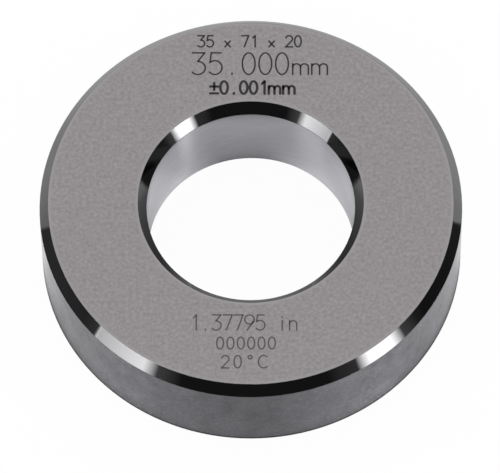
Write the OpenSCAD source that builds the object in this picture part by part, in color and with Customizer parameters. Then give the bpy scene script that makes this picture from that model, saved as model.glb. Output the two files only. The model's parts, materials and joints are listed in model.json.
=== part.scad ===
// Setting ring gauge: one solid turned from hardened tool steel, ground outside and lapped in the bore.
// The ring rests on its lower face at Z = 0 and the gauging bore runs along Z. Sizes are in millimetres.

/* [Gauging bore] */
// Diameter of the lapped bore, the size that the ring sets
bore_d = 35; // [25:0.5:45]
// Radial width of the lead-in chamfer at each end of the bore
bore_chamfer_w = 1.5; // [0.5:0.1:2.5]
// Axial depth of the lead-in chamfer at each end of the bore
bore_chamfer_h = 2; // [0.5:0.1:3]

/* [Body] */
// Outside diameter of the ground rim
outside_d = 71; // [60:0.5:90]
// Thickness of the ring between its two lapped end faces
thickness = 20; // [12:0.5:30]
// Radial width of the chamfer at each end of the rim
rim_chamfer_w = 1.5; // [0.5:0.1:2.5]
// Axial depth of the chamfer at each end of the rim
rim_chamfer_h = 2; // [0.5:0.1:3]

/* [Finish] */
// Radius left by stoning the sharp edges on both sides of every chamfer
edge_r = 0.15; // [0.05:0.05:0.3]

/* [Hidden] */
$fn = 240;
bore_r = bore_d / 2;
outside_r = outside_d / 2;
// Half section of the ring as (radius, height), anticlockwise from the foot of the bore chamfer
section = [
    [bore_r + bore_chamfer_w, 0],
    [outside_r - rim_chamfer_w, 0],
    [outside_r, rim_chamfer_h],
    [outside_r, thickness - rim_chamfer_h],
    [outside_r - rim_chamfer_w, thickness],
    [bore_r + bore_chamfer_w, thickness],
    [bore_r, thickness - bore_chamfer_h],
    [bore_r, bore_chamfer_h]
];

function unit(v) = v / norm(v);
function corner(outline, i) = outline[(i + len(outline)) % len(outline)];
// Unit directions from corner i of an outline to the corner before it and to the one after it
function to_last(outline, i) = unit(corner(outline, i - 1) - corner(outline, i));
function to_next(outline, i) = unit(corner(outline, i + 1) - corner(outline, i));
// Half of the angle inside the outline at corner i
function half_angle(outline, i) = acos(to_last(outline, i) * to_next(outline, i)) / 2;
// Distance from corner i to the two points where an arc of radius r leaves its sides
function tangent(outline, i, r) = r / tan(half_angle(outline, i));
// Centre of the arc of radius r that touches both sides of corner i
function arc_centre(outline, i, r) = corner(outline, i)
    + unit(to_last(outline, i) + to_next(outline, i)) * r / sin(half_angle(outline, i));

// Convex outline with each corner rounded to radius r by a true arc
module rounded(outline, r) {
    corners = [0 : len(outline) - 1];
    polygon([
        for (i = corners) each [
            corner(outline, i) + to_last(outline, i) * tangent(outline, i, r),
            corner(outline, i) + to_next(outline, i) * tangent(outline, i, r)
        ]
    ]);
    for (i = corners) translate(arc_centre(outline, i, r)) circle(r = r, $fn = 32);
}

// The whole gauge, turned in one piece
module ring() {
    color("#8f8d8c") rotate_extrude() rounded(section, edge_r);
}

ring();
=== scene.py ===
"""Setting ring gauge: finishes of hardened steel, engraved marks and a small photo studio."""
import json
from math import ceil, cos, hypot, radians, sin, tan

import bmesh
import bpy
from mathutils import Matrix, Vector


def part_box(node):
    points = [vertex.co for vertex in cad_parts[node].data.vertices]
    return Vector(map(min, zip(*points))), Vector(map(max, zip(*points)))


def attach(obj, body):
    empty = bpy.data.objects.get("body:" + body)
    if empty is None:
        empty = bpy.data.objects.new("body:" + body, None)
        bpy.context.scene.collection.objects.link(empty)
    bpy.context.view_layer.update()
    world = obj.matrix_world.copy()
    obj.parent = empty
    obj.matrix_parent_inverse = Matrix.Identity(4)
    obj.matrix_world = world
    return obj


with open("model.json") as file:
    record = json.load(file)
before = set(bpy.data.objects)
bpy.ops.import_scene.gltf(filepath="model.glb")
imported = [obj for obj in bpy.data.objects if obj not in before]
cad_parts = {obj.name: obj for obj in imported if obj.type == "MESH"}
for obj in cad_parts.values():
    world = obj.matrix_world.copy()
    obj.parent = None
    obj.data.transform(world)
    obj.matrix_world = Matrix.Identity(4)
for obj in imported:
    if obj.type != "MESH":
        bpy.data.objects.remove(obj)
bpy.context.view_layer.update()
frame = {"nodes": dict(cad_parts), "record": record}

# The ring, in metres
MM = 0.001
RING = frame["nodes"]["ring"]
RING_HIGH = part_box("ring")[1]
TOP, RIM_R = RING_HIGH.z, RING_HIGH.x
BORE_R = next(m for m in frame["record"]["mounts"] if m["name"] == "gauge_bore")["dims"]["r_mm"] * MM
# Chamfers, in millimetres
CHAMFER_WIDE, CHAMFER_HIGH = 1.5, 2.0


class Wire:
    """One output of a shader node, worked on with plain operators."""

    def __init__(self, finish, socket):
        self.finish, self.socket = finish, socket

    def __add__(self, other):
        return self.finish.maths("ADD", self, other)

    def __radd__(self, other):
        return self.finish.maths("ADD", other, self)

    def __sub__(self, other):
        return self.finish.maths("SUBTRACT", self, other)

    def __rsub__(self, other):
        return self.finish.maths("SUBTRACT", other, self)

    def __mul__(self, other):
        return self.finish.maths("MULTIPLY", self, other)

    def __rmul__(self, other):
        return self.finish.maths("MULTIPLY", other, self)

    def __truediv__(self, other):
        return self.finish.maths("DIVIDE", self, other)

    def __rtruediv__(self, other):
        return self.finish.maths("DIVIDE", other, self)


class Finish:
    """A material or world and its nodes."""

    def __init__(self, owner):
        owner.use_nodes = True
        self.owner, self.tree = owner, owner.node_tree
        self.tree.nodes.clear()

    def node(self, kind, settings=None, sockets=None, output=0):
        """Adds a node: its settings first, then a value or a link for each socket named."""
        made = self.tree.nodes.new(kind)
        for name, value in (settings or {}).items():
            setattr(made, name, value)
        for name, value in (sockets or {}).items():
            if isinstance(value, Wire):
                self.tree.links.new(value.socket, made.inputs[name])
            else:
                made.inputs[name].default_value = value
        return Wire(self, made.outputs[output]) if made.outputs else None

    def maths(self, operation, *values):
        return self.node("ShaderNodeMath", {"operation": operation}, dict(enumerate(values)))

    def mix_colours(self, factor, first, second):
        settings = {"data_type": "RGBA", "clamp_factor": True}
        return self.node("ShaderNodeMix", settings, {0: factor, 6: first, 7: second}, output=2)

    def mix_shaders(self, factor, first, second):
        return self.node("ShaderNodeMixShader", sockets={0: factor, 1: first, 2: second})

    def places(self, scale=(1, 1, 1)):
        """Places on the object in millimetres, stretched by scale."""
        at = self.node("ShaderNodeTexCoord", output="Object")
        stretch = tuple(s / MM for s in scale)
        return self.node("ShaderNodeVectorMath", {"operation": "MULTIPLY"}, {0: at, 1: stretch})

    def from_axis(self):
        """How far a place is from the axis of the ring, in millimetres."""
        flat = self.places((1, 1, 0))
        return self.node("ShaderNodeVectorMath", {"operation": "LENGTH"}, {0: flat}, output="Value")

    def height(self):
        """How high a place is over the lower face, in millimetres."""
        return self.node("ShaderNodeSeparateXYZ", sockets={0: self.places()}, output="Z")

    def noise(self, at, scale, detail=2.0, roughness=0.5):
        sockets = {"Vector": at, "Scale": scale, "Detail": detail, "Roughness": roughness}
        return self.node("ShaderNodeTexNoise", sockets=sockets)

    def bump(self, height, strength=1.0, distance=MM):
        sockets = {"Height": height, "Strength": strength, "Distance": distance}
        return self.node("ShaderNodeBump", sockets=sockets)

    def finish_with(self, shader):
        self.node("ShaderNodeOutputMaterial", sockets={"Surface": shader})
        return self.owner


def srgb(*shades):
    """A colour as a picture shows it, each shade from 11 to 255, as the light that it stands for."""
    return (*(((shade / 255 + 0.055) / 1.055) ** 2.4 for shade in shades), 1)


def new_finish(name):
    return Finish(bpy.data.materials.new(name))


# Turn of the lay of grinding, which runs round the ring and so spreads what it mirrors up and down
LAY_TURN = 0.25


def steel(finish, colour, roughness, normal=None, lay=None):
    """Bare steel, with its lay from 0, none, to 1."""
    sockets = {"Base Color": colour, "Metallic": 1.0, "Roughness": roughness}
    if normal is not None:
        sockets["Normal"] = normal
    if lay is not None:
        sockets.update({"Anisotropic": lay, "Anisotropic Rotation": LAY_TURN})
    return finish.node("ShaderNodeBsdfPrincipled", sockets=sockets)


# Roll-off: how far in from each edge lapping rounds the face down and a painted highlight lightens it, and
# how deep, in millimetres
ROLLED_WIDE, ROLLED_DEEP = 0.6, 0.08
# Depth of the mottling that the lapping paste leaves, in millimetres
GRAIN_DEEP = 0.0016


def lapped_face():
    """End faces: flat, matt and finely mottled by the lapping paste, which rolls them off at both edges, with
    a painted highlight over the roll-off.
    """
    f = new_finish("lapped_face")
    at = f.places()
    grain = f.noise(at, scale=1.7, detail=1.0)
    clouds = f.noise(at, scale=0.45)
    tone = grain * 0.8 + clouds * 0.2
    colour = f.mix_colours((tone - 0.3) * 2.5, srgb(140, 136, 137), srgb(161, 157, 158))
    radius = f.from_axis()
    from_bore = radius - (BORE_R / MM + CHAMFER_WIDE)
    from_rim = (RIM_R / MM - CHAMFER_WIDE) - radius
    rolled_and_sheen = f.maths("MAXIMUM", 1 - f.maths("MINIMUM", from_bore, from_rim) / ROLLED_WIDE, 0.0)
    # Painted highlight: the rolled-off band along both edges is lighter
    colour = f.mix_colours(rolled_and_sheen, colour, srgb(162, 159, 161))
    relief = f.bump(grain * GRAIN_DEEP - rolled_and_sheen * rolled_and_sheen * ROLLED_DEEP)
    return f.finish_with(steel(f, colour, 0.36 + grain * 0.14, relief))


# Height of the painted contact shade along the foot of the outside wall, in millimetres
SHADED_FOOT_HIGH = 0.8


def ground_rim():
    """Outside wall: cylindrically ground, with the smears that hands leave, and painted contact shade along
    its foot.
    """
    f = new_finish("ground_rim")
    lines = f.noise(f.places((0.05, 0.05, 1)), scale=6.0, detail=3.0)
    grain = f.noise(f.places(), scale=2.2)
    smears = f.noise(f.places((1, 1, 0.6)), scale=0.35, detail=5.0, roughness=0.6)
    tone = lines * 0.12 + grain * 0.38 + smears * 0.5
    colour = f.mix_colours((tone - 0.35) * 3.3, srgb(170, 170, 176), srgb(209, 209, 216))
    # Painted contact shade: the wall turns dark towards its foot
    colour = f.mix_colours((f.height() - CHAMFER_HIGH) / SHADED_FOOT_HIGH, srgb(70, 70, 74), colour)
    relief = f.bump(lines, strength=0.03, distance=0.01 * MM)
    return f.finish_with(steel(f, colour, 0.145 + smears * 0.02, relief, lay=1.0))


# How much of the bore's light its lay spreads widely, the rest being mirrored almost sharply
BORE_SPREAD = 0.7


def lapped_bore():
    """Gauging bore: lapped close to a mirror, with a fine lay round the wall."""
    f = new_finish("lapped_bore")
    lines = f.noise(f.places((0.04, 0.04, 1)), scale=7.0, detail=3.0)
    colour = f.mix_colours((lines - 0.35) * 3.0, srgb(194, 194, 200), srgb(210, 210, 216))
    relief = f.bump(lines, strength=0.005, distance=0.01 * MM)
    mirror = steel(f, colour, 0.1 + lines * 0.04, relief, lay=1.0)
    spread = steel(f, colour, 0.34, relief, lay=1.0)
    return f.finish_with(f.mix_shaders(BORE_SPREAD, mirror, spread))


def polished_chamfer():
    """Chamfers: finely ground and polished, so they mirror the room in hard bands."""
    f = new_finish("polished_chamfer")
    lines = f.noise(f.places((0.08, 0.08, 1)), scale=9.0)
    colour = f.mix_colours(lines, srgb(232, 232, 234), srgb(240, 240, 242))
    relief = f.bump(lines, strength=0.02, distance=0.005 * MM)
    return f.finish_with(steel(f, colour, 0.03 + lines * 0.03, relief, lay=0.5))


def stoned_edge():
    """Edges on both sides of a chamfer, rounded by a stone, with painted contact shade on those near the
    foot.
    """
    f = new_finish("stoned_edge")
    marks = f.noise(f.places(), scale=5.0)
    colour = f.mix_colours(marks, srgb(140, 138, 139), srgb(164, 162, 163))
    # Painted contact shade: the edges near the foot turn dark
    colour = f.mix_colours(f.height() - (CHAMFER_HIGH + SHADED_FOOT_HIGH), srgb(60, 60, 62), colour)
    return f.finish_with(steel(f, colour, 0.25 + marks * 0.1))


def engraved_mark(name, dark, light):
    """Marks: the matt floor of the engraved lines, roughened by burr."""
    f = new_finish(name)
    burr = f.noise(f.places(), scale=12.0)
    return f.finish_with(steel(f, f.mix_colours(burr, dark, light), 0.55 + burr * 0.2))


# Zones of the solid, told apart by how far up or down each of its faces looks
FLAT_ENOUGH, UPRIGHT_ENOUGH = 0.999, 0.01
CHAMFER_LEAN = CHAMFER_WIDE / hypot(CHAMFER_WIDE, CHAMFER_HIGH)
LEAN_SPREAD = 0.02


def zone_of(face):
    lean = abs(face.normal.z)
    if lean > FLAT_ENOUGH:
        return "face"
    if lean < UPRIGHT_ENOUGH:
        return "bore" if hypot(face.center.x, face.center.y) < (BORE_R + RIM_R) / 2 else "rim"
    return "chamfer" if abs(lean - CHAMFER_LEAN) < LEAN_SPREAD else "edge"


def dress_ring():
    """Gives each zone of the solid its own finish."""
    finishes = {"face": lapped_face(), "bore": lapped_bore(), "rim": ground_rim(),
                "chamfer": polished_chamfer(), "edge": stoned_edge()}
    RING.data.materials.clear()
    for material in finishes.values():
        RING.data.materials.append(material)
    order = list(finishes)
    for face in RING.data.polygons:
        face.material_index = order.index(zone_of(face))


# Steps round the arcs of the letters, in degrees
ARC_STEP = 15


def arc(x, y, wide, tall, start, end):
    """Points round part of an oval, between two angles in degrees."""
    steps = ceil(abs(end - start) / ARC_STEP)
    turns = [radians(start + (end - start) * i / steps) for i in range(steps + 1)]
    return [(x + wide * cos(t), y + tall * sin(t)) for t in turns]


# Engraving letters one cap height tall: how wide each is, and its pen lines
LETTERS = {
    " ": (0.0, []),
    ".": (0.06, [[(0.03, 0.0), (0.03, 0.06)]]),
    "°": (0.28, [arc(0.14, 0.86, 0.14, 0.14, 90, 450)]),
    "±": (0.56, [[(0.0, 0.58), (0.56, 0.58)], [(0.28, 0.3), (0.28, 0.86)], [(0.0, 0.04), (0.56, 0.04)]]),
    "0": (0.52, [arc(0.26, 0.5, 0.26, 0.5, 90, 450)]),
    "1": (0.18, [[(0.0, 0.8), (0.18, 1.0)], [(0.18, 1.0), (0.18, 0.0)]]),
    "2": (0.54, [arc(0.27, 0.72, 0.26, 0.28, 165, -30) + [(0.0, 0.0)], [(0.0, 0.0), (0.54, 0.0)]]),
    "3": (0.56, [[(0.02, 1.0), (0.52, 1.0)],
                 [(0.52, 1.0), (0.24, 0.6)],
                 arc(0.25, 0.3, 0.3, 0.3, 92, -140)]),
    "5": (0.54, [[(0.5, 1.0), (0.1, 1.0)],
                 [(0.1, 1.0), (0.05, 0.56)],
                 arc(0.25, 0.32, 0.29, 0.32, 133, -140)]),
    "7": (0.54, [[(0.0, 1.0), (0.54, 1.0)], [(0.54, 1.0), (0.2, 0.0)]]),
    "9": (0.56, [arc(0.28, 0.7, 0.28, 0.3, 90, 450), [(0.54, 0.6), (0.14, 0.0)]]),
    "C": (0.6, [arc(0.4, 0.5, 0.38, 0.5, 50, 310)]),
    "i": (0.0, [[(0.0, 0.0), (0.0, 0.62)], [(0.0, 0.82), (0.0, 0.87)]]),
    "m": (0.8, [[(0.0, 0.0), (0.0, 0.62)],
                arc(0.2, 0.42, 0.2, 0.2, 180, 0) + [(0.4, 0.0)],
                arc(0.6, 0.42, 0.2, 0.2, 180, 0) + [(0.8, 0.0)]]),
    "n": (0.42, [[(0.0, 0.0), (0.0, 0.62)], arc(0.21, 0.41, 0.21, 0.21, 180, 0) + [(0.42, 0.0)]]),
    "x": (0.42, [[(0.0, 0.0), (0.42, 0.52)], [(0.0, 0.52), (0.42, 0.0)]]),
}

# Widths of the engraved lines, in millimetres
FINE, THIN, BOLD = 0.24, 0.28, 0.44
# Marks on the upper face: name, letters, middle and base line, cap height, step and line width in millimetres
MARKS = [
    ("mark_sizes", "35 x 71 x 20", -0.3, 29.4, 2.15, 1.49, THIN),
    ("mark_bore", "35.000", -1.85, 24.1, 4.15, 2.82, THIN),
    ("mark_unit", "mm", 9.95, 24.1, 3.3, 3.22, THIN),
    ("mark_tolerance", "±0.001", -2.1, 20.4, 2.4, 1.66, BOLD),
    ("mark_tolerance_unit", "mm", 5.15, 20.4, 2.4, 2.42, BOLD),
    ("mark_inches", "1.37795 in", -1.05, -24.05, 2.8, 1.82, FINE),
    ("mark_number", "000000", -0.7, -27.55, 2.2, 1.72, FINE),
    ("mark_warmth", "20°C", -1.05, -31.05, 2.3, 2.05, FINE),
]
# How far the whole engraving is turned on the face
MARKS_TURN = radians(-0.95)
# How far the marks go into the face and stand out of it, which shows them over the uncut solid
MARK_SUNK, MARK_PROUD = 0.02 * MM, 0.008 * MM
# Steps round the end of a pen line, in degrees from its side
CAP_TURNS = (90, 60, 30)


def cap_section(middle, ahead, side, half, turn):
    """Left and right points on the round end of a pen line."""
    middle = middle + ahead * (sin(radians(turn)) * half)
    side = side * cos(radians(turn))
    return middle + side, middle - side


def pen_sections(line, half, closed):
    """Left and right points along a pen line, with round ends where it is open."""
    points = [Vector(p) for p in line]
    sections = []
    for i, middle in enumerate(points):
        before = points[i - 1] if i else (points[-2] if closed else middle)
        after = points[i + 1] if i < len(points) - 1 else (points[1] if closed else middle)
        ahead = (after - before).normalized()
        sections.append((middle, ahead, Vector((-ahead.y, ahead.x)) * half))
    rows = [(middle + side, middle - side) for middle, _, side in sections]
    if closed:
        return rows[:-1]
    start = [cap_section(*sections[0], half, -turn) for turn in CAP_TURNS]
    end = [cap_section(*sections[-1], half, turn) for turn in reversed(CAP_TURNS)]
    return start + rows + end


def add_stroke(bm, line, half):
    """One engraved line as a closed flat solid."""
    closed = (Vector(line[0]) - Vector(line[-1])).length < half / 10
    rows = []
    for left, right in pen_sections(line, half, closed):
        corners = [(left, TOP + MARK_PROUD), (right, TOP + MARK_PROUD),
                   (right, TOP - MARK_SUNK), (left, TOP - MARK_SUNK)]
        rows.append([bm.verts.new((p.x, p.y, z)) for p, z in corners])
    pairs = list(zip(rows, rows[1:])) + ([(rows[-1], rows[0])] if closed else [])
    for first, second in pairs:
        for k in range(4):
            after = (k + 1) % 4
            bm.faces.new((first[k], second[k], second[after], first[after]))
    if not closed:
        bm.faces.new(rows[0])
        bm.faces.new(reversed(rows[-1]))


def mark_lines(letters, middle, base, cap, step):
    """The pen lines of one row of letters on the face, in metres."""
    turn = Matrix.Rotation(MARKS_TURN, 2)
    lines = []
    for i, letter in enumerate(letters):
        wide, strokes = LETTERS[letter]
        left = middle + (i - (len(letters) - 1) / 2) * step - wide * cap / 2
        for stroke in strokes:
            lines.append([turn @ Vector((left + x * cap, base + y * cap)) * MM for x, y in stroke])
    return lines


def add_mark(material, name, letters, middle, base, cap, step, width):
    bm = bmesh.new()
    for line in mark_lines(letters, middle, base, cap, step):
        add_stroke(bm, line, width * MM / 2)
    bmesh.ops.recalc_face_normals(bm, faces=bm.faces)
    mesh = bpy.data.meshes.new(name)
    bm.to_mesh(mesh)
    bm.free()
    mesh.materials.append(material)
    mark = bpy.data.objects.new(name, mesh)
    bpy.context.scene.collection.objects.link(mark)
    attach(mark, "root")


def add_marks():
    """The marks, the finest of which are the lightest too."""
    deep = engraved_mark("deep_mark", srgb(56, 54, 54), srgb(80, 78, 78))
    shallow = engraved_mark("shallow_mark", srgb(84, 82, 82), srgb(112, 110, 110))
    for mark in MARKS:
        add_mark(shallow if mark[-1] == FINE else deep, *mark)


# Studio floor, in metres, a hair under the ring so that the two share no plane
FLOOR_SIDE = 8.0
FLOOR_TOP = -0.02 * MM
FLOOR_COLOUR = (0.95, 0.95, 0.95, 1)
# How much of what the camera and the metal see of it is plain white, the rest being lit paper
FLOOR_WHITE = 0.97


def studio_object(name, mesh, material):
    mesh.materials.append(material)
    thing = bpy.data.objects.new(name, mesh)
    bpy.context.scene.collection.objects.link(thing)
    return thing


def floor_finish():
    """White paper: mostly plain white where it is seen, with a faint shadow, and clear from below."""
    f = new_finish("floor_paper")
    seen = f.node("ShaderNodeLightPath", output="Is Camera Ray")
    mirrored = f.node("ShaderNodeLightPath", output="Is Glossy Ray")
    through = f.node("ShaderNodeLightPath", output="Is Transmission Ray")
    paper = f.node("ShaderNodeBsdfDiffuse", sockets={"Color": FLOOR_COLOUR})
    white = f.node("ShaderNodeEmission", sockets={"Strength": 1.0})
    top = f.mix_shaders((seen + mirrored + through) * FLOOR_WHITE, paper, white)
    from_below = f.node("ShaderNodeNewGeometry", output="Backfacing")
    return f.finish_with(f.mix_shaders(from_below, top, f.node("ShaderNodeBsdfTransparent")))


def add_floor():
    half = FLOOR_SIDE / 2
    mesh = bpy.data.meshes.new("floor")
    corners = [(-half, -half), (half, -half), (half, half), (-half, half)]
    mesh.from_pydata([(x, y, FLOOR_TOP) for x, y in corners], [], [(0, 1, 2, 3)])
    studio_object("floor", mesh, floor_finish())


# Cards that are seen in the metal only. Their turns run anticlockwise from the right, in degrees.
BACK, FRONT = 90, 270
CARD_STEP = 0.5
# How much darker a card is when it is seen by way of two surfaces, where the real room is dark
TWICE_DARKER = 0.97
# Ray depth between that of one surface and that of two
ONE_SURFACE = 1.5


def part_way(place, start, end):
    """How far a place is from start to end, from 0 to 1."""
    return max(0.0, min(1.0, (place - start) / (end - start)))


def mixed(first, second, part):
    return first + (second - first) * part


def value_at(stops, place):
    """The value at a place between stops of (place, value)."""
    for (before, low), (after, high) in zip(stops, stops[1:]):
        if before <= place <= after:
            return mixed(low, high, (place - before) / (after - before))
    return stops[-1][1]


def turns_by(step, start=0):
    """The whole round in even steps."""
    return [start + i * step for i in range(int(360 / step) + 1)]


def card_finish(name, inside_only):
    """As bright as the shade value of the card says, and much dimmer when mirrored twice."""
    f = new_finish(name)
    f.owner.cycles.emission_sampling = "NONE"
    shade = f.node("ShaderNodeAttribute", {"attribute_name": "shade"}, output="Fac")
    again = f.maths("GREATER_THAN", f.node("ShaderNodeLightPath", output="Ray Depth"), ONE_SURFACE)
    bright = shade * (1 - again * TWICE_DARKER)
    card = f.node("ShaderNodeEmission", sockets={"Color": bright, "Strength": 1.0})
    if inside_only:
        inside = f.node("ShaderNodeNewGeometry", output="Backfacing")
        card = f.mix_shaders(inside, f.node("ShaderNodeBsdfTransparent"), card)
    return f.finish_with(card)


def add_card(name, turns, stations, shade, inside_only=False):
    """A card swept round the axis through stations of (radius, height), with a shade for each corner."""
    wide = len(stations)
    points = [(r * cos(radians(t)), r * sin(radians(t)), z) for t in turns for r, z in stations]
    faces = []
    for i in range(len(turns) - 1):
        for k in range(wide - 1):
            a = i * wide + k
            faces.append((a, a + wide, a + wide + 1, a + 1))
    mesh = bpy.data.meshes.new(name)
    mesh.from_pydata(points, [], faces)
    shades = mesh.attributes.new("shade", "FLOAT", "POINT")
    shades.data.foreach_set("value", [shade(t, k) for t in turns for k in range(wide)])
    card = studio_object(name, mesh, card_finish(name, inside_only))
    card.visible_camera = card.visible_diffuse = card.visible_shadow = False
    card.visible_transmission = card.visible_volume_scatter = False


# Tall screen round the ring, in metres, with a lid on it. It is dark low down, but for gaps that light comes
# through, with a strip lamp over each front gap. Higher up it turns into a white sky, between two rises.
SCREEN_R = 1.0
SCREEN_RISES = [0, 8, 12, 18, 25, 30, 38, 45, 55, 65, 72]
SKY_FROM, SKY_FULL = 18, 72
LID_HOLE_R = 0.001
# Dark parts of the screen: turn and brightness
SCREEN_DARKS = [
    (0, 0.005), (30, 0.02), (195, 0.018), (202, 0.03), (231, 0.05), (236, 0.03), (241, 0.007), (300, 0.007),
    (305, 0.02), (311, 0.028), (334, 0.05), (338, 0.035), (342, 0.012), (360, 0.008),
]
# Gaps: where each starts, is full from, full to and ends, and how bright it is on both sides
GAPS = [
    (17.9, 18.4, 160.0, 160.5, 1.0, 1.0),
    (202.4, 203.9, 225.0, 231.0, 0.5, 0.88),
    (312.5, 318.5, 328.5, 334.5, 1.25, 1.35),
]
# Strip lamps: where each starts, is full from, full to and ends, how bright, and the rises of its lower edge
LAMPS = [
    (203, 204, 228, 229.5, 5.0, 12, 18),
    (319, 326.5, 328, 330, 14.0, 8, 12),
]
# Rises of the upper edge of the strip lamps: dark from, and full to
LAMP_END, LAMP_LAST = 38, 30


def screen_shade(turn, rise):
    """How bright the screen is at a turn and rise."""
    bright = value_at(SCREEN_DARKS, turn)
    for start, full, last, end, first_side, last_side in GAPS:
        inside = min(part_way(turn, start, full), part_way(turn, end, last))
        bright = mixed(bright, value_at([(full, first_side), (last, last_side)], turn), inside)
    for start, full, last, end, lamp, low, high in LAMPS:
        inside = min(part_way(turn, start, full), part_way(turn, end, last),
                     part_way(rise, low, high), part_way(rise, LAMP_END, LAMP_LAST))
        bright = mixed(bright, lamp, inside)
    return mixed(bright, 1.0, part_way(rise, SKY_FROM, SKY_FULL))


def add_screen():
    stations = [(SCREEN_R, SCREEN_R * tan(radians(rise))) for rise in SCREEN_RISES]
    stations.append((LID_HOLE_R, stations[-1][1]))
    rises = SCREEN_RISES + SCREEN_RISES[-1:]
    add_card("screen", turns_by(CARD_STEP), stations, lambda turn, k: screen_shade(turn, rises[k]))


# Height of the cards on the table and in the hole
TABLE_TOP = 0.4 * MM
# Painted light and shade of the self-lit table card close to the ring, and far from it: turn and brightness
TABLE_NEAR = [
    (0, 1.0), (180, 1.1), (188, 0.77), (198, 0.56), (210, 0.46), (235, 0.35), (255, 0.27), (275, 0.25),
    (292, 0.35), (300, 0.4), (325, 0.42), (341, 0.55), (352, 0.7), (360, 1.0),
]
TABLE_FAR = [
    (0, 0.005), (12.4, 0.01), (12.9, 0.17), (128, 0.17), (145, 0.125), (166.8, 0.13), (167.3, 0.02),
    (205, 0.018), (215, 0.2), (325, 0.2), (335, 0.006), (360, 0.005),
]
# Rows of the table card: radius in millimetres, and its share of the near brightness at the back and in
# front; the small shares next to the ring paint its contact shadow
TABLE_ROWS = [
    (33.5, 0.02, 0.02), (36.0, 0.03, 0.03), (36.2, 0.7, 0.7), (36.7, 0.8, 0.85), (37.7, 0.85, 0.93),
    (40, 0.83, 0.84), (44, 0.85, 0.86), (48, 0.6, 0.9), (54, 0.22, 0.5), (58, 0.19, 0.3), (62, 0.14, 0.2),
    (69, 0.085, 0.1), (82, 0.07, 0.0), (105, 0.004, 0.0), (1000, 0.0, 0.0),
]
# Radius within which the far brightness has no part, in millimetres
ALL_NEAR_R = 52
# How far from the front the share in front begins, and is full
FRONT_PARTLY, FRONT_FULLY = 75, 35


def table_shade(turn, k):
    """How bright row k of the table card is at a turn."""
    radius, back, front = TABLE_ROWS[k]
    near = mixed(back, front, part_way(abs(turn - FRONT), FRONT_PARTLY, FRONT_FULLY))
    far = 0.0 if radius < ALL_NEAR_R else value_at(TABLE_FAR, turn)
    return mixed(far, value_at(TABLE_NEAR, turn), near)


# Dark self-lit tube in the hole, painted shade of the bore that only the chamfer over the hole mirrors: its
# radius in millimetres
LINER_R = 9.65
LINER_STEP = 2
LINER_DARK = 0.008
# Rows of the tube: height, brightness at the back, and how far from the back it is dark from and bright to
LINER_ROWS = [
    (0.5, 0.11, 100, 80), (2.5, 0.08, 100, 80), (4.5, 0.05, 100, 80), (7, 0.03, 100, 80),
    (9.5, 0.034, 100, 80), (12.5, 0.05, 100, 80), (14.6, 0.072, 28, 24), (15.5, 0.11, 21, 17),
    (16.4, 0.14, 18, 14), (17.3, 0.15, 15, 11),
]

# Self-lit card under the hole, which the bore mirrors: painted light on the floor of the hole, and painted
# shade
HOLE_STEP = 5
HOLE_DARK = 0.02
# Rows of the card: radius in millimetres, brightness at the back and beside that, and how far from the back
# it is dark from and bright to
HOLE_ROWS = [
    (0, 0.15, 0.15, 60, 40), (4, 0.14, 0.14, 60, 40), (8.3, 0.11, 0.11, 60, 40), (8.45, 1.4, 0.11, 60, 40),
    (9.7, 1.4, 0.11, 60, 40), (9.8, 1.4, 1.3, 60, 40), (10.6, 1.05, 1.1, 60, 40), (12, 0.64, 0.85, 60, 40),
    (14, 0.43, 0.85, 65, 45), (15, 0.34, 1.0, 75, 55), (16, 0.25, 1.1, 90, 65), (17, 0.14, 1.0, 95, 70),
    (19, 0.03, 0.05, 95, 70),
]
# Where the brightness at the back changes into the one beside it: inside the tube, and left and right of it
INSIDE_LINER, HOLE_LEFT, HOLE_RIGHT = (12, 18), (15, 40), (8, 36)
# Radius of the foot of the tube on the card, in millimetres
LINER_FOOT_R = 9.75


def hole_shade(turn, k):
    """How bright row k of the card under the hole is at a turn."""
    radius, middle, beside, dark_from, bright_to = HOLE_ROWS[k]
    from_back = abs(turn - BACK)
    outside = HOLE_LEFT if turn > BACK else HOLE_RIGHT
    side = part_way(from_back, *(INSIDE_LINER if radius < LINER_FOOT_R else outside))
    return mixed(HOLE_DARK, mixed(middle, beside, side), part_way(from_back, dark_from, bright_to))


def liner_shade(turn, k):
    """How bright row k of the tube is at a turn."""
    _, bright, dark_from, bright_to = LINER_ROWS[k]
    return mixed(LINER_DARK, bright, part_way(abs(turn - BACK), dark_from, bright_to))


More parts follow.
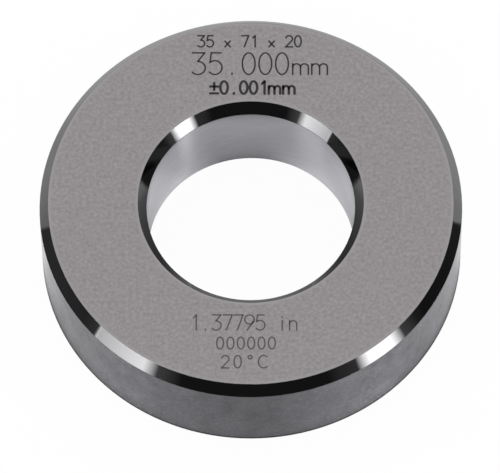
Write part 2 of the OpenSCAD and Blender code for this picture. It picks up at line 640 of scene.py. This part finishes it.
def add_low_cards():
    """The self-lit cards on the table and in the hole, painted light and shade for the metal to mirror. Those
    in the hole are swept from the front, round the back.
    """
    front = FRONT - 360
    table = [(row[0] * MM, TABLE_TOP) for row in TABLE_ROWS]
    hole = [(row[0] * MM, TABLE_TOP) for row in HOLE_ROWS]
    liner = [(LINER_R * MM, row[0] * MM) for row in LINER_ROWS]
    add_card("table_card", turns_by(CARD_STEP), table, table_shade)
    add_card("hole_card", turns_by(HOLE_STEP, front), hole, hole_shade)
    add_card("hole_liner", turns_by(LINER_STEP, front), liner, liner_shade, inside_only=True)


def light_world():
    """Plain white light from all round."""
    world = bpy.data.worlds.new("studio")
    bpy.context.scene.world = world
    w = Finish(world)
    sky = w.node("ShaderNodeBackground", sockets={"Color": (1, 1, 1, 1), "Strength": 1.0})
    w.node("ShaderNodeOutputWorld", sockets={"Surface": sky})


# Camera at the photograph's viewing angle, with its distances in metres, and lens and sensor in millimetres
ELEVATION, ROLL = radians(63.163), radians(-0.84)
DISTANCE = 1.2505
SEES_FROM, SEES_TO = 0.05, 10
LENS, SENSOR = 536.8, 36
# How far from the middle of the upper face it aims
AIM_RIGHT, AIM_UP = -0.127 * MM, -5.907 * MM


def add_camera():
    back = Vector((0, -cos(ELEVATION), sin(ELEVATION)))
    level = Vector((1, 0, 0))
    up = back.cross(level)
    right = level * cos(ROLL) + up * sin(ROLL)
    above = up * cos(ROLL) - level * sin(ROLL)
    data = bpy.data.cameras.new("camera")
    data.lens, data.sensor_width = LENS, SENSOR
    data.clip_start, data.clip_end = SEES_FROM, SEES_TO
    camera = bpy.data.objects.new("camera", data)
    turn = Matrix((right, above, back)).transposed().to_4x4()
    aim = Vector((0, 0, TOP)) + right * AIM_RIGHT + above * AIM_UP
    camera.matrix_world = Matrix.Translation(aim + back * DISTANCE) @ turn
    bpy.context.scene.collection.objects.link(camera)
    bpy.context.scene.camera = camera


def main():
    add_camera()
    dress_ring()
    add_marks()
    add_floor()
    add_screen()
    add_low_cards()
    light_world()
    bpy.context.scene.view_settings.view_transform = "Standard"


main()
